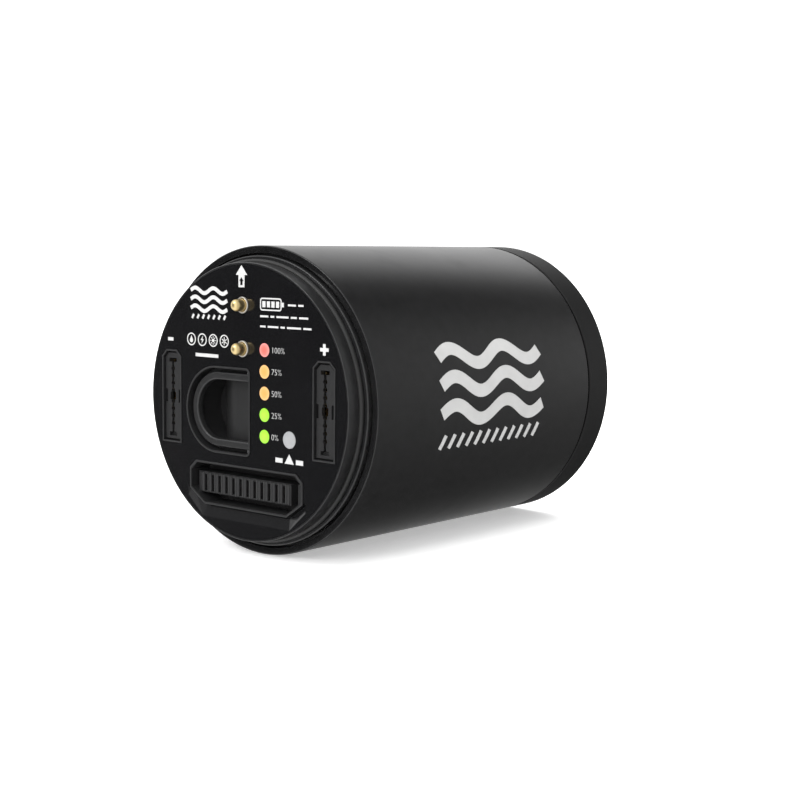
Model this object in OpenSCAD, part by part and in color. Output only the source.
// Battery module of an underwater scooter: a sealed tube with a connector face.
// Axis along Y, connector face towards -Y, +Z up. Origin on the axis, at the tube's front end.

/* [Housing] */
// Outer diameter of the tube and the rear cap
tube_od = 100; // [98:0.5:130]
// Length of the tube, front end to parting groove
tube_len = 115; // [115:1:200]
// Wall of the tube
tube_wall = 3; // [2.5:0.1:5]
// Depth of the counterbore that takes the front collar
counterbore_depth = 16; // [14:0.5:20]
// Wall left round the counterbore
counterbore_wall = 2.4; // [1.6:0.1:2.4]

/* [Rear cap] */
// Width of the parting groove between tube and rear cap
parting_gap = 1; // [0.5:0.1:2]
// Depth of the parting groove
parting_depth = 1.2; // [0.6:0.1:2]
// Visible length of the rear cap
cap_len = 12.5; // [10:0.5:20]
// Thickness of the rear cap's end wall
cap_wall = 5.5; // [4.5:0.5:6]
// Length of the cap's spigot inside the tube
cap_spigot_len = 11; // [8:0.5:11]
// Edge chamfer of the housing parts
edge_chamfer = 0.6; // [0.2:0.1:1]

/* [Neck] */
// How far the connector face stands in front of the tube
neck_len = 7.5; // [6.5:0.1:12]
// Radial step from the neck to the tube's outside
neck_step = 5.3; // [4.9:0.1:6]
// Radial step from the stop lip to the tube's outside
lip_step = 3.2; // [3:0.1:3.6]
// Section of the round neck seal
neck_seal_d = 1.8; // [1.2:0.1:2.2]
// Section of the hidden housing seals
seal_d = 2.6; // [2:0.1:3]

/* [Face plate] */
// Thickness of the face plate
plate_t = 3; // [2.5:0.1:4]
// Width of the collar's rim round the plate
rim_w = 0.7; // [0.5:0.1:1.5]
// Width of the collar's ledge behind the plate
ledge_w = 4.4; // [4:0.1:5]
// Height of the thin lips round the sockets and the handle recess
lip_h = 0.25; // [0.1:0.05:0.6]
// Width of those lips
lip_w = 0.7; // [0.4:0.1:1]

/* [Power sockets] */
// Distance of each power socket from the axis
socket_x = 34.6; // [33:0.1:35]
// Height of the power sockets' middle above the axis
socket_z = -0.2; // [-1:0.1:0.2]
// Width of a power socket
socket_w = 9.4; // [8.5:0.1:10]
// Height of a power socket
socket_h = 31; // [26:0.5:32]
// Corner cut at the top of a power socket
socket_cut = 2.2; // [1:0.1:3]
// Groove between the socket's lip and its insert
socket_groove = 0.6; // [0.4:0.1:1]
// How far the insert lies under the face
insert_drop = 0.4; // [0.2:0.1:1]
// Width of the contact slot
slot_w = 1; // [0.8:0.1:1.2]
// Number of round finger notches along the slot
finger_count = 8; // [4:2:10]
// Space between the slot's ends and the socket's ends
slot_end = 2.5; // [2.4:0.1:4]

/* [Data socket] */
// Overall width of the data socket at the face
data_w = 51.6; // [46:0.2:52]
// Top edge of the data socket
data_top = -20.5; // [-21:0.1:-20.3]
// Height of the data socket
data_h = 14.2; // [13:0.1:14.4]
// How far the data socket's lower corners are cut in from each side
data_corner = 7; // [5:0.1:9]
// Number of ribs on the contact comb
rib_count = 13; // [5:1:16]
// Space from the socket's sides to the comb, both sides together
comb_space = 9.2; // [8.6:0.2:13]
// Height of the comb
comb_h = 6.8; // [5:0.1:7]
// How far the comb lies under the face
comb_drop = 1.5; // [1:0.1:3]
// Deepest point of the sloping apron under the socket
apron_depth = 1.5; // [0.5:0.1:1.8]

/* [Pull handle] */
// Radius of the handle recess
recess_r = 13.5; // [12:0.1:13.8]
// Centre of the recess's round end, across
recess_x = -13.2; // [-14:0.1:-13]
// Centre of the recess's round end, up
recess_z = -3.1; // [-3.5:0.1:-3]
// Straight right side of the recess
recess_right = 1.8; // [1:0.1:2]
// Rounding of the recess's two right corners
recess_corner = 1.2; // [0.5:0.1:1.3]
// Gap between the handle and its recess
handle_gap = 1.3; // [1.1:0.1:2]
// Width of the handle's band
handle_w = 2.5; // [2:0.1:3]
// Thickness of the handle
handle_t = 2.6; // [2:0.1:3]
// How far the handle lies under the face
handle_drop = 0.7; // [0.3:0.1:1]
// Hinge pin radius
handle_pin_r = 0.7; // [0.5:0.05:0.8]
// Depth of the finger pocket at its deep end
pocket_depth = 12; // [8:0.5:13]

/* [Contact pins] */
// Column that the contact pins and the arrow share
pin_x = -0.9; // [-1.2:0.1:0]
// Height of the upper contact pin
pin_z_upper = 31.1; // [29:0.1:32]
// Height of the lower contact pin
pin_z_lower = 17.2; // [16:0.1:19]
// Radius of a contact pin
pin_r = 1.95; // [1.5:0.05:2.1]
// How far a contact pin stands out
pin_reach = 4.4; // [3:0.1:6]
// Travel of a contact pin
pin_travel = 2; // [1:0.1:2.5]
// Width of the ring that a pin sleeve shows round its pin
sleeve_ring = 0.7; // [0.6:0.05:1]

/* [Charge display] */
// Column of the charge windows
window_x = 8.8; // [8:0.1:9.5]
// Height of the top window
window_top = 17.3; // [16:0.1:18]
// Distance between windows
window_pitch = 6.84; // [6:0.1:6.9]
// Radius of a window
window_r = 2.15; // [1.5:0.05:2.4]
// Button place, across
button_x = 19.85; // [18:0.05:21]
// Button place, up
button_z = -10.15; // [-11:0.05:-9]
// Button radius
button_r = 2.7; // [2.2:0.05:3]
// Button travel
button_travel = 0.8; // [0.4:0.1:0.8]

/* [Cells] */
// Diameter of a cell
cell_d = 18.4; // [18:0.1:18.6]
// Length of a cell
cell_len = 65; // [64:0.1:65]
// Gap between neighbouring cells of the ring
cell_gap = 0.7; // [0.4:0.1:1.6]
// Distance from the tube's front end to the cells
cell_front = 37.5; // [36:0.5:37.5]
// Thickness of a cell holder
holder_t = 9; // [6:0.5:12]
// Nickel strip thickness
strip_t = 0.2; // [0.1:0.05:0.3]
// Nickel strip width
strip_w = 8; // [6:0.5:9]

/* [Fits] */
// Running clearance of moving pins and buttons, radial
running = 0.06; // [0.03:0.01:0.1]
// Clearance of parts that seat in each other
seat = 0.05; // [0.02:0.01:0.1]
// Clearance round rods and bars that pass through a part
pass = 0.4; // [0.2:0.1:0.8]

/* [Hidden] */
$fn = 96;

tube_r = tube_od / 2;
bore_r = tube_r - tube_wall;
collar_bore_r = tube_r - counterbore_wall;
neck_r = tube_r - neck_step;
neck_back = -1.1;
neck_seal_r = neck_r + 0.1;
neck_seal_y = neck_back - neck_seal_d / 2;
lip_r = tube_r - lip_step;
face_y = -neck_len;
plate_r = neck_r - rim_w;
plate_back = face_y + plate_t;
ledge_r = plate_r - ledge_w;
cap_front = tube_len + parting_gap;
cap_end = cap_front + cap_len;
cap_inside = cap_end - cap_wall;
cap_hollow_r = bore_r - 4;
dish_r = tube_r - 18;
dish_t = 0.6;
gasket_t = 0.5;
gasket_out = plate_r - 0.3;
gasket_in = plate_r - 1;
screw_circle = (ledge_r + gasket_in) / 2;
screw_angles = [62, 118, 216, 324];
screw_r = 1;
screw_head_r = 1.9;
screw_head_y = plate_back + 3.2;
groove_play = 0.02;
collar_seal_r = collar_bore_r - seat - seal_d / 2 + 0.06;
collar_seal_y = counterbore_depth - 6;

// Tie rods run from the collar's bosses to the rear cap
rod_r = 2;
rod_inset = 6.6;
rod_circle = bore_r - rod_inset;
rod_boss_r = 4.2;
rod_boss_y = 9;
rod_head_r = 3.5;
rod_head_h = 3;
rod_seal_t = 0.6;
rod_head_sink = 0.4;
rod_head_y = cap_end - rod_head_h - rod_head_sink;
rod_key_r = 1.73;
rod_angles = [45, 135, 225, 315];

// Depths of the socket bodies behind the face
socket_back = 6;
socket_back_wall = 1.2;
socket_rim = lip_w * 0.8;
slot_shift = -0.4;
slot_depth = 1.6;
slot_bar = [3.6, 1.3];
slot_mid = 2.6;
finger_r = 0.85;
chamber_end = 3;
contact_t = 0.5;
contact_gap = 0.95;
data_bottom_w = data_w - 2 * data_corner;
data_cut = [2.9, 2.6];
comb_y = face_y + comb_drop;
comb_top_gap = 3.8;
comb_z = data_top - comb_top_gap - comb_h / 2;
comb_w = data_w - comb_space;
comb_x = -1.9;
comb_slot_w = 0.32;
key_gap = 2.2;
key_w = 1.6;
key_drop = 0.8;
data_back = 5;
data_back_wall = 1.4;
data_contact_t = 0.5;
data_floor = face_y + 8;

// Handle recess and its hinge
handle_r = recess_r - handle_gap;
handle_in = handle_r - handle_w;
handle_front = face_y + handle_drop;
hinge_x = 0.2;
hinge_y = handle_front + handle_t / 2;
shelf_y = face_y + handle_drop + handle_t + 0.35;
tub_flange = 0.8;
tub_flange_t = 1.2;
tub_floor = 1.6;
tub_back = face_y + pocket_depth + tub_floor;
ramp_r = 13;
ramp_top = shelf_y + 0.9;
ramp_x = -8;

// Charge display stack
window_count = 5;
flange_w = 0.6;
flange_t = 0.9;
light_pipe_r = 1.4;
button_stem_r = 1.1;
board_y = 0.6;
board_t = 1.6;
led_h = 1.1;
switch_h = 1.5;
board_x = [window_x - 2.8, 27.6];
board_z = [min(window_z(window_count - 1), button_z) - 5.85, window_top + 6.3];
display_pillars = [[25, board_z[1] - 2.6], [25, 1], [13.6, board_z[0] + 2.4]];
pillar_r = 1.9;
pillar_screw_r = 0.8;

// Contact pins and their sleeves; the sleeve is long enough for the travel and the pressed spring
pin_z = [pin_z_upper, pin_z_lower];
sleeve_r = pin_r + sleeve_ring;
sleeve_flange = 0.8;
pin_shoulder_r = pin_r + 0.2;
pin_shoulder_t = 1;
sleeve_bore_r = pin_shoulder_r + running;
sleeve_front = face_y - 0.5;
sleeve_step_y = face_y + 2;
sleeve_floor = 0.6;
pin_spring_pressed = 5.9;
sleeve_back = sleeve_step_y + pin_shoulder_t + pin_travel + pin_spring_pressed + sleeve_floor;
pin_tip_y = face_y - pin_reach;
pin_dome = 1.75;

// Protection board and cells
cell_r = cell_d / 2;
cell_back = cell_front + cell_len;
holder_r = bore_r - 0.6;
ring_count = 8;
ring_angle = 360 / ring_count;
ring_r = (cell_d + cell_gap) / 2 / sin(ring_angle / 2);
insulator_t = 0.5;
insulator_front_y = cell_front - strip_t - insulator_t;
protect_y = 26;
protect_t = 1.6;
protect_r = bore_r - 1.5;
standoff_r = 2.6;
standoff_hole = 4;
standoff_screw_r = 1.2;
standoff_circle = 32;
standoff_angles = [30, 150, 210, 330];
bar_w = 8;
bar_t = 0.8;
bar_front = socket_back + 1.8;
long_bar_z = rod_circle - 3.2;
thermistor_r = 1.3;
thermistor_at = ring_r / 2 * [cos(ring_angle / 2), sin(ring_angle / 2)];

// ---- shared shapes ----

module disc(r, y0, y1) {
    translate([0, y0, 0]) rotate([-90, 0, 0]) cylinder(r = r, h = y1 - y0);
}

module disc_at(x, z, r, y0, y1) {
    translate([x, 0, z]) disc(r, y0, y1);
}

// An outline drawn across and up, extruded from y0 back to y1
module slab(y0, y1) {
    translate([0, y1, 0]) rotate([90, 0, 0]) linear_extrude(y1 - y0) children();
}

// A profile of [radius, y] points turned about the Y axis
module turned(points) {
    rotate([-90, 0, 0]) rotate_extrude($fn = 128) polygon(points);
}

// A ring of round section, used for seals, their grooves and spring turns
module seal_ring(centre_r, y, d) {
    rotate([-90, 0, 0]) translate([0, 0, y]) rotate_extrude($fn = 128)
        translate([centre_r, 0]) circle(d = d, $fn = 32);
}

module box_y(x0, x1, y0, y1, z0, z1) {
    translate([x0, y0, z0]) cube([x1 - x0, y1 - y0, z1 - z0]);
}

module around(angles, r) {
    for (a = angles) translate([r * cos(a), 0, r * sin(a)]) children();
}

// A D round the recess's centre: a round end of radius r, a straight side at right, corners of radius c
module d_outline(r, right, c = 0) {
    translate([recess_x, recess_z]) circle(r = r);
    translate([recess_x, recess_z - r]) square([right - c - recess_x, 2 * r]);
    if (c > 0) {
        translate([recess_x, recess_z - r + c]) square([right - recess_x, 2 * (r - c)]);
        for (s = [-1, 1]) translate([right - c, recess_z + s * (r - c)]) circle(r = c, $fn = 48);
    }
}

// The recess's own outline, grown by g
module recess_outline(g) {
    d_outline(recess_r + g, recess_right + g, recess_corner + g);
}

// A power socket's outline with its two top corners cut, shrunk by g
module socket_outline(g) {
    w = socket_w / 2 - g;
    h = socket_h / 2 - g;
    cut = socket_cut - g * 0.58;
    polygon([[-w, -h], [w, -h], [w, h - cut], [w - cut, h], [cut - w, h], [-w, h - cut]]);
}

module socket_places() {
    for (side = [-1, 1]) translate([side * socket_x, 0, socket_z]) children();
}

// The black slot of a power socket: wide ends, a square middle and round finger notches
module slot_outline() {
    half = socket_h / 2 - slot_end;
    translate([0, slot_shift]) square([slot_w, 2 * half], center = true);
    for (side = [-1, 1])
        translate([0, slot_shift + side * (half - slot_bar[1] / 2)]) square(slot_bar, center = true);
    square(slot_mid, center = true);
    for (i = [0 : finger_count - 1]) translate([0, finger_z(i)]) circle(r = finger_r, $fn = 24);
}

function finger_z(i) =
    let (pitch = (socket_h - 9) / (finger_count + 1), k = i - (finger_count - 1) / 2)
    k * pitch + sign(k) * 0.6;

// The data socket's outline, shrunk by g
module data_outline(g) {
    w = data_w / 2 - g;
    b = data_bottom_w / 2 - g * 0.4;
    top = data_top - g;
    low = data_top - data_h + g;
    side = low + (w - b) * 0.68;
    cut = w - data_cut[0];
    shoulder = top - data_cut[1];
    polygon([
        [-cut, top], [cut, top], [w, shoulder], [w, side], [b, low], [-b, low], [-w, side], [-w, shoulder]
    ]);
}

// The apron that slopes from the face down to the data socket's lower edge
module apron_cut() {
    low = data_top - data_h;
    top = low + 5.5;
    margin = 1;
    w = data_w / 2;
    b = data_bottom_w / 2;
    outer = [
        [-w - margin, top], [w + margin, top], [w + margin, low + 2.2],
        [b + margin, low - 4.1], [-b - margin, low - 4.1], [-w - margin, low + 2.2]
    ];
    inner = [[-w, top], [w, top], [b, low], [-b, low]];
    thin = 0.05;
    hull() {
        slab(face_y - thin, face_y) polygon(outer);
        slab(face_y + apron_depth - thin, face_y + apron_depth) polygon(inner);
    }
}

// ---- housing ----

module housing_tube() {
    c = edge_chamfer;
    color([0.07, 0.07, 0.08]) turned([
        [collar_bore_r, 0], [tube_r - c / 2, 0], [tube_r, c / 2], [tube_r, tube_len - c / 2],
        [tube_r - c / 2, tube_len], [bore_r, tube_len],
        [bore_r, counterbore_depth], [collar_bore_r, counterbore_depth]
    ]);
}

module rear_cap() {
    c = edge_chamfer;
    color([0.08, 0.08, 0.09]) difference() {
        union() {
            turned([
                [0, tube_len], [tube_r - parting_depth, tube_len], [tube_r - parting_depth, cap_front],
                [tube_r - c / 2, cap_front], [tube_r, cap_front + c / 2], [tube_r, cap_end - c * 1.6],
                [tube_r - c * 1.6, cap_end], [0, cap_end]
            ]);
            disc(bore_r - seat, tube_len - cap_spigot_len, tube_len);
        }
        difference() {
            disc(cap_hollow_r, tube_len - cap_spigot_len - 1, cap_inside);
            around(rod_angles, rod_circle) disc(rod_boss_r + 0.6, tube_len - cap_spigot_len, cap_inside + 1);
        }
        around(rod_angles, rod_circle) disc(rod_r + pass, 0, cap_end + 1);
        around(rod_angles, rod_circle) disc(rod_head_r + 0.3, rod_head_y - rod_seal_t, cap_end + 1);
        seal_ring(bore_r - seal_d / 2, tube_len - cap_spigot_len / 2, seal_d + groove_play);
        // Shallow dish in the end face, inside the screw heads
        turned([
            [0, cap_end - dish_t], [dish_r, cap_end - dish_t],
            [dish_r + dish_t, cap_end + 0.1], [0, cap_end + 0.1]
        ]);
    }
}

module rear_cap_seal() {
    color([0.03, 0.03, 0.03])
        seal_ring(bore_r - seal_d / 2 - groove_play, tube_len - cap_spigot_len / 2, seal_d - 2 * groove_play);
}

module front_collar() {
    c = 0.35;
    body_r = collar_bore_r - seat;
    stop_y = 2.2;
    skirt_r = ledge_r + 1.8;
    color([0.1, 0.1, 0.11]) difference() {
        union() {
            turned([
                [plate_r + seat, face_y], [neck_r - c, face_y], [neck_r, face_y + c], [neck_r, neck_back],
                [lip_r - 0.5, neck_back], [lip_r, neck_back + 0.5], [lip_r, stop_y], [body_r, stop_y],
                [body_r, counterbore_depth], [skirt_r, counterbore_depth], [skirt_r, plate_back + 6],
                [ledge_r, plate_back + 4], [ledge_r, plate_back], [plate_r + seat, plate_back]
            ]);
            intersection() {
                around(rod_angles, rod_circle) disc(rod_boss_r, rod_boss_y, counterbore_depth);
                disc(body_r - 1, rod_boss_y - 1, counterbore_depth + 1);
            }
        }
        seal_ring(neck_seal_r, neck_seal_y, neck_seal_d + groove_play);
        seal_ring(collar_seal_r, collar_seal_y, seal_d + groove_play);
        around(rod_angles, rod_circle) disc(rod_r + seat, rod_boss_y + 1, counterbore_depth + 1);
        plate_screw_places() disc(screw_r + seat, plate_back - 1, screw_head_y + 1);
        plate_screw_places() disc(screw_head_r + 0.2, screw_head_y, plate_back + 6);
        socket_places() slab(plate_back - 1, socket_back + 0.1) socket_outline(-0.1);
        // Seat of the face gasket
        turned([
            [gasket_in, plate_back - 0.1], [gasket_out, plate_back - 0.1],
            [gasket_out, plate_back + gasket_t], [gasket_in, plate_back + gasket_t]
        ]);
    }
}

module plate_screw_places() {
    around(screw_angles, screw_circle) children();
}

module collar_seal() {
    color([0.03, 0.03, 0.03]) seal_ring(collar_seal_r, collar_seal_y, seal_d - 0.06);
}

module neck_seal() {
    color([0.04, 0.04, 0.04]) seal_ring(neck_seal_r, neck_seal_y, neck_seal_d - groove_play);
}

module face_gasket() {
    color([0.15, 0.15, 0.15]) turned([
        [gasket_in + groove_play, plate_back], [gasket_out - groove_play, plate_back],
        [gasket_out - groove_play, plate_back + gasket_t], [gasket_in + groove_play, plate_back + gasket_t]
    ]);
}

module face_plate_screws() {
    color([0.7, 0.7, 0.72]) plate_screw_places() {
        disc(screw_r, face_y + 1, screw_head_y);
        difference() {
            disc(screw_head_r, screw_head_y, screw_head_y + 1.2);
            disc(0.75, screw_head_y + 0.6, screw_head_y + 2, $fn = 6);
        }
    }
}

module tie_rods() {
    color([0.75, 0.75, 0.77]) around(rod_angles, rod_circle) {
        disc(rod_r, rod_boss_y + 1, rod_head_y);
        difference() {
            disc(rod_head_r, rod_head_y, rod_head_y + rod_head_h);
            disc(rod_key_r, rod_head_y + 1.2, rod_head_y + rod_head_h + 1, $fn = 6);
        }
    }
}

module tie_rod_seals() {
    color([0.05, 0.05, 0.05]) around(rod_angles, rod_circle) difference() {
        disc(rod_head_r, rod_head_y - rod_seal_t, rod_head_y);
        disc(rod_r + groove_play, rod_head_y - 2, rod_head_y + 1);
    }
}

// ---- connector face ----

module face_plate() {
    front = face_y - 1;
    back = plate_back + 1;
    color([0.03, 0.03, 0.035]) {
        difference() {
            disc(plate_r, face_y, plate_back);
            socket_places() slab(front, back) socket_outline(-seat);
            slab(front, back) data_outline(-seat);
            apron_cut();
            slab(front, back) recess_outline(lip_w + seat);
            for (z = pin_z) disc_at(pin_x, z, sleeve_r + seat, front, back);
            for (i = [0 : window_count - 1]) disc_at(window_x, window_z(i), window_r + seat, front, back);
            disc_at(button_x, button_z, button_r + running, front, back);
            plate_screw_places() disc(screw_r + seat, face_y + 0.9, back);
        }
        for (p = display_pillars) difference() {
            disc_at(p[0], p[1], pillar_r, plate_back, board_y);
            disc_at(p[0], p[1], pillar_screw_r + seat, back, board_y + 1);
        }
    }
}

function window_z(i) = window_top - i * window_pitch;

// A power socket: lip, groove and an insert with its contact slot, one moulding
module power_socket(side) {
    chamber = socket_h / 2 - chamber_end;
    tail = bar_w / 2 + seat;
    latch_x = socket_w / 2 - 1.4;
    color([0.13, 0.13, 0.14]) translate([side * socket_x, 0, socket_z]) difference() {
        slab(face_y - lip_h, socket_back) socket_outline(0);
        slab(face_y - 1, face_y + 1.8) difference() {
            socket_outline(socket_rim);
            socket_outline(socket_rim + socket_groove);
        }
        slab(face_y - 1, face_y + insert_drop) socket_outline(socket_rim);
        slab(face_y - 1, face_y + slot_depth) slot_outline();
        // Chamber for the contact strips, with slots for their tails
        box_y(-1.8, 1.8, face_y + slot_depth - 0.1, socket_back - socket_back_wall, -chamber, chamber);
        for (s = [-1, 1])
            box_y(contact_in(s) - seat, contact_in(s) + contact_t + seat, 0, socket_back + 1, -tail, tail);
        // Latch notches at half height
        for (s = [-1, 1]) box_y(s * latch_x - 0.6, s * latch_x + 0.6, face_y - 1, face_y + 1.4, -2.2, 2.2);
    }
}

// Left side of the contact strip on side s of the slot
function contact_in(s) = s > 0 ? contact_gap : -contact_gap - contact_t;

// Two contact strips with round fingers that face each other across the slot
module power_contact(side) {
    strip_end = socket_h / 2 - chamber_end - 0.4;
    tail = bar_w / 2;
    yoke = contact_gap + contact_t;
    color([0.72, 0.6, 0.35]) translate([side * socket_x, 0, socket_z]) {
        for (s = [-1, 1]) {
            x = contact_in(s);
            box_y(x, x + contact_t, face_y + 2, socket_back - socket_back_wall, -strip_end, strip_end);
            box_y(x, x + contact_t, socket_back - 2, socket_back + 1, -tail, tail);
            for (i = [0 : finger_count - 1]) intersection() {
                disc_at(s * 1.05, finger_z(i), 0.5, face_y + 1.9, face_y + 7);
                box_y(s > 0 ? 0.3 : -1.2, s > 0 ? 1.2 : -0.3, face_y, 1, -strip_end, strip_end);
            }
        }
        box_y(-yoke, yoke, socket_back + 1, bar_front, -tail, tail);
    }
}

module negative_socket() { power_socket(-1); }

module positive_socket() { power_socket(1); }

module negative_contact() { power_contact(-1); }

module positive_contact() { power_contact(1); }

function rib_pitch() = comb_w / rib_count;
function slot_x(i) = comb_x - comb_w / 2 + (i + 1) * rib_pitch();

// The data socket: lip, cavity, comb of ribs and a keying rib at its right end
module data_socket() {
    z0 = comb_z - comb_h / 2;
    z1 = comb_z + comb_h / 2;
    right = comb_x + comb_w / 2;
    slot_half = rib_pitch() * comb_slot_w / 2;
    tail_half = data_contact_t / 2 + 0.1;
    color([0.12, 0.12, 0.13]) difference() {
        slab(face_y - lip_h, data_back) data_outline(0);
        difference() {
            slab(face_y - 1, data_floor) data_outline(lip_w);
            box_y(right - comb_w, right, comb_y, data_floor + 1, z0, z1);
            box_y(right + key_gap, right + key_gap + key_w, comb_y + key_drop, data_floor + 1, z0, z1);
        }
        for (i = [0 : rib_count - 2]) {
            x = slot_x(i);
            box_y(x - slot_half, x + slot_half, comb_y - 1, data_back - data_back_wall, z0 + 0.5, z1 - 0.9);
            box_y(x - tail_half, x + tail_half, 0, data_back + 1, comb_z - 1.1, comb_z + 1.1);
        }
    }
}

// A flat contact in each slot of the comb, with its tail through the socket's back
module data_contacts() {
    half = data_contact_t / 2;
    color([0.8, 0.68, 0.35]) for (i = [0 : rib_count - 2])
        box_y(slot_x(i) - half, slot_x(i) + half, comb_y + 2, data_back + 1, comb_z - 1, comb_z + 1);
}

// ---- pull handle ----

// The tub of the handle: a shelf for the handle and a pocket for the finger, with a ramped floor
module handle_recess() {
    pocket_r = handle_r - handle_w / 2 - 0.2;
    color([0.1, 0.1, 0.11]) difference() {
        union() {
            slab(face_y - lip_h, tub_back) recess_outline(lip_w);
            slab(plate_back, plate_back + tub_flange_t) recess_outline(lip_w + tub_flange);
        }
        slab(face_y - 1, shelf_y) recess_outline(0);
        difference() {
            slab(shelf_y - 1, face_y + pocket_depth) d_outline(pocket_r, recess_right);
            translate([ramp_x, ramp_top + ramp_r, -60]) cylinder(r = ramp_r, h = 120);
            box_y(ramp_x, 20, ramp_top, 60, -60, 60);
        }
        for (s = [-1, 1])
            translate([hinge_x, hinge_y, recess_z + s * (recess_r + 0.2) - 1.2])
                cylinder(r = handle_pin_r + 0.01, h = 2.4, $fn = 32);
    }
}

// The handle: a D-shaped band with an eye at each end for the hinge pins
module pull_handle() {
    color([0.16, 0.16, 0.17]) difference() {
        union() {
            slab(handle_front, handle_front + handle_t) difference() {
                d_outline(handle_r, hinge_x);
                d_outline(handle_in, hinge_x + 1);
            }
            for (z = [handle_in, -handle_r])
                translate([hinge_x, hinge_y, recess_z + z]) cylinder(r = handle_t / 2, h = handle_w, $fn = 48);
        }
        translate([hinge_x, hinge_y, recess_z - 20]) cylinder(r = handle_pin_r + running, h = 40, $fn = 32);
    }
}

// Two stub pins between the tub's walls and the handle's eyes
module handle_pins() {
    color([0.7, 0.7, 0.72]) for (z = [handle_in + 0.5, -recess_r - 0.6])
        translate([hinge_x, hinge_y, recess_z + z])
            cylinder(r = handle_pin_r, h = recess_r + 0.1 - handle_in, $fn = 32);
}

// ---- contact pins ----

module pin_sleeve(z) {
    color([0.75, 0.73, 0.66]) translate([pin_x, 0, z]) difference() {
        union() {
            disc(sleeve_r, sleeve_front, sleeve_back);
            disc(sleeve_r + sleeve_flange, plate_back, plate_back + 1);
        }
        disc(pin_r + running, sleeve_front - 1, sleeve_step_y + 1);
        disc(sleeve_bore_r, sleeve_step_y, sleeve_back - sleeve_floor);
    }
}

module pin_sleeve_upper() { pin_sleeve(pin_z[0]); }

module pin_sleeve_lower() { pin_sleeve(pin_z[1]); }

// A domed plunger with a shoulder that the sleeve's step holds
module contact_pin(z) {
    shoulder_y = sleeve_step_y + groove_play;
    color([0.8, 0.62, 0.28]) translate([pin_x, 0, z]) turned([
        for (a = [0 : 10 : 90]) [pin_r * sin(a), pin_tip_y + pin_dome * (1 - cos(a))],
        [pin_r, shoulder_y], [pin_shoulder_r, shoulder_y],
        [pin_shoulder_r, sleeve_step_y + pin_shoulder_t], [0, sleeve_step_y + pin_shoulder_t]
    ]);
}

module contact_pin_upper() { contact_pin(pin_z[0]); }

module contact_pin_lower() { contact_pin(pin_z[1]); }

// A coil drawn as a stack of rings, one for each turn
module ring_spring(r, wire, y0, y1, turns) {
    pitch = (y1 - y0 - wire) / (turns - 1);
    for (i = [0 : turns - 1]) seal_ring(r, y0 + wire / 2 + i * pitch, wire);
    for (s = [-1, 1]) disc_at(s * r, 0, wire * 0.3, y0 + wire / 2, y1 - wire / 2, $fn = 16);
}

module pin_spring(z) {
    y0 = sleeve_step_y + pin_shoulder_t + groove_play;
    color([0.6, 0.6, 0.62]) translate([pin_x, 0, z])
        ring_spring(pin_r - 0.15, 0.4, y0, sleeve_back - sleeve_floor - groove_play, 8);
}

module pin_spring_upper() { pin_spring(pin_z[0]); }

module pin_spring_lower() { pin_spring(pin_z[1]); }

// ---- charge display ----

module window(i) {
    shade = [[1, 0.45, 0.42], [1, 0.67, 0.3], [1, 0.67, 0.3], [0.55, 1, 0.3], [0.55, 1, 0.3]];
    color(shade[i]) translate([window_x, 0, window_z(i)]) {
        turned([
            [0, face_y - 0.12], [window_r - 0.5, face_y - 0.05], [window_r, face_y + 0.15],
            [window_r, plate_back], [0, plate_back]
        ]);
        disc(window_r + flange_w, plate_back, plate_back + flange_t);
        disc(light_pipe_r, plate_back + flange_t, board_y - led_h - 0.1);
    }
}

module window_100() { window(0); }

module window_75() { window(1); }

module window_50() { window(2); }

module window_25() { window(3); }

module window_0() { window(4); }

module push_button() {
    stem_end = board_y - switch_h - button_travel - 0.15;
    color([0.62, 0.63, 0.64]) translate([button_x, 0, button_z]) {
        turned([
            [0, face_y - 0.3], [button_r - 0.4, face_y - 0.25], [button_r, face_y + 0.1],
            [button_r, plate_back + groove_play], [0, plate_back + groove_play]
        ]);
        disc(button_r + flange_w, plate_back + groove_play, plate_back + flange_t);
        disc(button_stem_r, plate_back + flange_t, stem_end);
    }
}

module button_spring() {
    color([0.6, 0.6, 0.62]) translate([button_x, 0, button_z])
        ring_spring(2, 0.35, plate_back + flange_t + groove_play, board_y - switch_h - groove_play, 4);
}

module button_switch() {
    color([0.2, 0.2, 0.22]) translate([button_x, 0, button_z])
        box_y(-3, 3, board_y - switch_h, board_y, -3, 3);
}

module display_board() {
    color([0.05, 0.3, 0.15]) difference() {
        box_y(board_x[0], board_x[1], board_y, board_y + board_t, board_z[0], board_z[1]);
        for (p = display_pillars)
            disc_at(p[0], p[1], pillar_screw_r + 0.2, board_y - 1, board_y + board_t + 1);
    }
}

module indicator_leds() {
    color([0.95, 0.95, 0.85]) for (i = [0 : window_count - 1])
        translate([window_x, 0, window_z(i)]) box_y(-1.6, 1.6, board_y - led_h, board_y, -1.4, 1.4);
}

module display_screws() {
    y = board_y + board_t;
    color([0.7, 0.7, 0.72]) for (p = display_pillars) {
        disc_at(p[0], p[1], pillar_screw_r, plate_back + 1.6, y);
        disc_at(p[0], p[1], 2 * pillar_screw_r, y, y + 1);
    }
}

// ---- wiring and protection board ----

module display_ribbon() {
    color([0.75, 0.75, 0.78]) box_y(16, 26, board_y + board_t, protect_y, 8, 8.6);
}

module data_ribbon() {
    color([0.75, 0.75, 0.78]) box_y(comb_x - 17, comb_x + 17, data_back + 1, protect_y, comb_z - 0.4, comb_z + 0.4);
}

module sense_leads() {
    color([0.7, 0.1, 0.08]) for (z = pin_z) disc_at(pin_x, z, 0.7, sleeve_back, protect_y);
}

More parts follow.
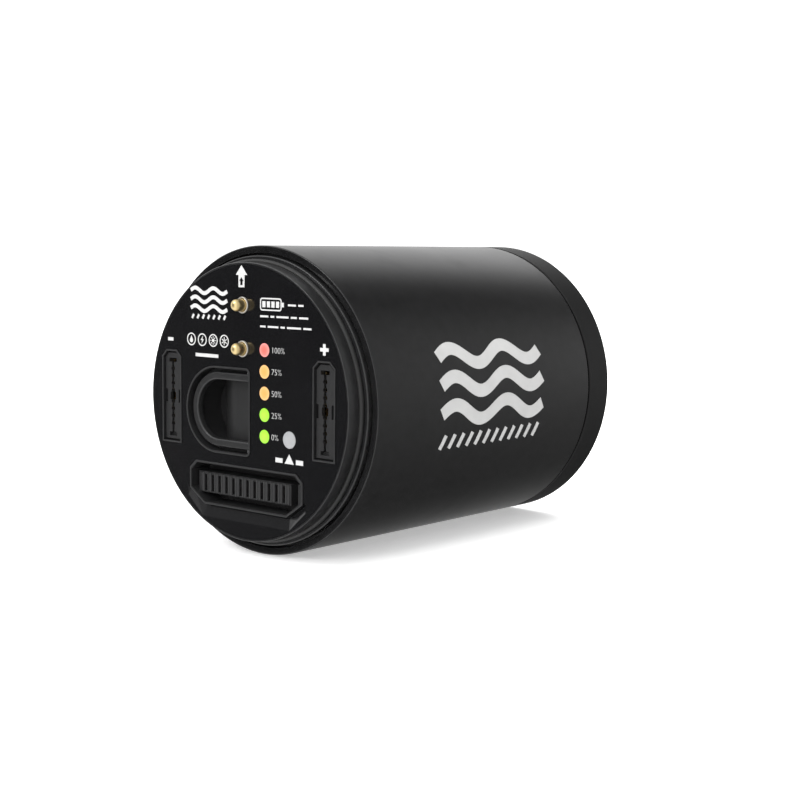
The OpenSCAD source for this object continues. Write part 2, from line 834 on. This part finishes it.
module protection_board() {
    color([0.05, 0.28, 0.14]) difference() {
        disc(protect_r, protect_y, protect_y + protect_t);
        around(rod_angles, rod_circle) disc(rod_r + pass + 0.6, protect_y - 1, protect_y + protect_t + 1);
        around(standoff_angles, standoff_circle)
            disc(standoff_screw_r + 0.3, protect_y - 1, protect_y + protect_t + 1);
        long_bar_slot(protect_y - 1, protect_y + protect_t + 1);
    }
}

// Slot for the bar that comes from the rear of the cells
module long_bar_slot(y0, y1) {
    box_y(-bar_w / 2 - 0.3, bar_w / 2 + 0.3, y0, y1, long_bar_z - 0.3, long_bar_z + bar_t + 0.3);
}

module board_components() {
    front = protect_y;
    color([0.1, 0.1, 0.11]) {
        for (k = [-2 : 2]) box_y(k * 9 - 3.2, k * 9 + 3.2, front - 2.3, front, -14, -7.5);
        for (k = [-1 : 1]) box_y(k * 8 - 3, k * 8 + 3, front - 1.2, front, 4, 7.4);
        for (k = [-1, 1]) disc_at(k * 14, 18, 4, front - 9, front);
        box_y(-6, 6, front - 3.4, front, -3, 2);
    }
}

module board_standoffs() {
    y1 = insulator_front_y;
    y0 = protect_y + protect_t;
    color([0.8, 0.68, 0.35]) around(standoff_angles, standoff_circle) difference() {
        disc(standoff_r, y0, y1, $fn = 6);
        disc(standoff_screw_r + seat, y0 - 1, y0 + standoff_hole);
    }
}

module board_screws() {
    y = protect_y;
    color([0.7, 0.7, 0.72]) around(standoff_angles, standoff_circle) {
        disc(2.2, y - 1.4, y);
        disc(standoff_screw_r, y, y + protect_t + standoff_hole - 0.3);
    }
}

module power_bar(side) {
    color([0.75, 0.45, 0.3]) translate([side * socket_x, 0, socket_z])
        box_y(-bar_t / 2, bar_t / 2, bar_front, protect_y, -bar_w / 2, bar_w / 2);
}

module negative_bar() { power_bar(-1); }

module positive_bar() { power_bar(1); }

// From the centre cell's rear end out to the wall and forward through the holders to the board
module pack_positive_bar() {
    y1 = cell_back + strip_t;
    color([0.75, 0.45, 0.3]) {
        box_y(-bar_w / 2, bar_w / 2, protect_y + protect_t, y1 + bar_t, long_bar_z, long_bar_z + bar_t);
        box_y(-bar_w / 2, bar_w / 2, y1, y1 + bar_t, -4, long_bar_z);
    }
}

module thermistor() {
    color([0.1, 0.12, 0.1]) translate([thermistor_at[0], 0, thermistor_at[1]]) {
        disc(0.5, protect_y + protect_t, cell_front + 12);
        disc(thermistor_r, cell_front + 12, cell_front + 16);
    }
}

// ---- cells ----

function ring_at(i) = ring_r * [cos((i + 0.5) * ring_angle), sin((i + 0.5) * ring_angle)];

module ring_place(i) {
    translate([ring_at(i)[0], 0, ring_at(i)[1]]) children();
}

// One cell; flip = 1 puts its positive end at the back
module cell(flip) {
    y0 = cell_front;
    y1 = cell_back;
    g = 0.6;
    cap_r = 3;
    rim = cell_r - 1.4;
    edge = cell_r - 0.5;
    base = cell_r - 0.8;
    front = flip > 0
        ? [[0, y0], [base, y0], [cell_r, y0 + 0.8]]
        : [[0, y0], [cap_r, y0], [cap_r, y0 + g], [rim, y0 + g], [rim, y0], [edge, y0], [cell_r, y0 + 0.5]];
    back = flip > 0
        ? [[cell_r, y1 - 0.5], [edge, y1], [rim, y1], [rim, y1 - g], [cap_r, y1 - g], [cap_r, y1], [0, y1]]
        : [[cell_r, y1 - 0.8], [base, y1], [0, y1]];
    turned(concat(front, back));
}

module outer_cells_odd() {
    color([0.1, 0.4, 0.6]) for (i = [0 : 2 : 6]) ring_place(i) cell(1);
}

module outer_cells_even() {
    color([0.1, 0.4, 0.6]) for (i = [1 : 2 : 7]) ring_place(i) cell(0);
}

module centre_cell() {
    color([0.1, 0.4, 0.6]) cell(1);
}

// A strip of nickel from one place to another, ending a little past both
module strip(a, b, y) {
    d = b - a;
    over = 2.5;
    translate([a[0], y, a[1]]) rotate([0, -atan2(d[1], d[0]), 0])
        box_y(-over, norm(d) + over, 0, strip_t, -strip_w / 2, strip_w / 2);
}

// Front joins: 2-3, 4-5, 6-7 and 8 to the centre
module front_strips() {
    color([0.8, 0.8, 0.78]) {
        for (i = [1, 3, 5]) strip(ring_at(i), ring_at(i + 1), cell_front - strip_t);
        strip(ring_at(7), [0, 0], cell_front - strip_t);
    }
}

// Rear joins: 1-2, 3-4, 5-6, 7-8, and the centre cell's own pad
module rear_strips() {
    color([0.8, 0.8, 0.78]) {
        for (i = [0, 2, 4, 6]) strip(ring_at(i), ring_at(i + 1), cell_back);
        box_y(-4, 4, cell_back, cell_back + strip_t, -4, 4);
    }
}

module cell_holder(y0) {
    y1 = y0 + holder_t;
    color([0.85, 0.85, 0.82]) difference() {
        disc(holder_r, y0, y1);
        for (i = [0 : ring_count - 1]) ring_place(i) disc(cell_r + seat, y0 - 1, y1 + 1);
        disc(cell_r + seat, y0 - 1, y1 + 1);
        around(rod_angles, rod_circle) disc(rod_r + pass, y0 - 1, y1 + 1);
        long_bar_slot(y0 - 1, y1 + 1);
        disc_at(thermistor_at[0], thermistor_at[1], thermistor_r + 0.2, y0 - 1, y1 + 1);
    }
}

module cell_holder_front() { cell_holder(cell_front); }

module cell_holder_rear() { cell_holder(cell_back - holder_t); }

// A thin disc over the strips, cleared for rods and bars
module insulator(y0) {
    color([0.3, 0.5, 0.75]) difference() {
        disc(holder_r, y0, y0 + insulator_t);
        around(rod_angles, rod_circle) disc(rod_r + pass, y0 - 1, y0 + 2);
        long_bar_slot(y0 - 1, y0 + 2);
        disc_at(thermistor_at[0], thermistor_at[1], thermistor_r + 0.2, y0 - 1, y0 + 2);
    }
}

module front_insulator() { insulator(insulator_front_y); }

module rear_insulator() { insulator(cell_back + strip_t + bar_t); }

// Soft pad that presses the cells forward against the board's standoffs
module rear_foam_pad() {
    y0 = cell_back + strip_t + bar_t + insulator_t;
    color([0.25, 0.25, 0.27]) difference() {
        disc(cap_hollow_r - 7.6, y0, cap_inside);
        around(rod_angles, rod_circle) disc(rod_boss_r + 1.2, y0 - 1, cap_inside + 1);
    }
}

housing_tube();
rear_cap();
rear_cap_seal();
front_collar();
collar_seal();
neck_seal();
face_plate();
face_gasket();
face_plate_screws();
tie_rods();
tie_rod_seals();
negative_socket();
positive_socket();
negative_contact();
positive_contact();
data_socket();
data_contacts();
handle_recess();
pull_handle();
handle_pins();
pin_sleeve_upper();
pin_sleeve_lower();
contact_pin_upper();
contact_pin_lower();
pin_spring_upper();
pin_spring_lower();
window_100();
window_75();
window_50();
window_25();
window_0();
push_button();
button_spring();
button_switch();
display_board();
indicator_leds();
display_screws();
display_ribbon();
data_ribbon();
sense_leads();
protection_board();
board_components();
board_standoffs();
board_screws();
negative_bar();
positive_bar();
pack_positive_bar();
thermistor();
front_strips();
rear_strips();
cell_holder_front();
cell_holder_rear();
front_insulator();
rear_insulator();
rear_foam_pad();
outer_cells_odd();
outer_cells_even();
centre_cell();
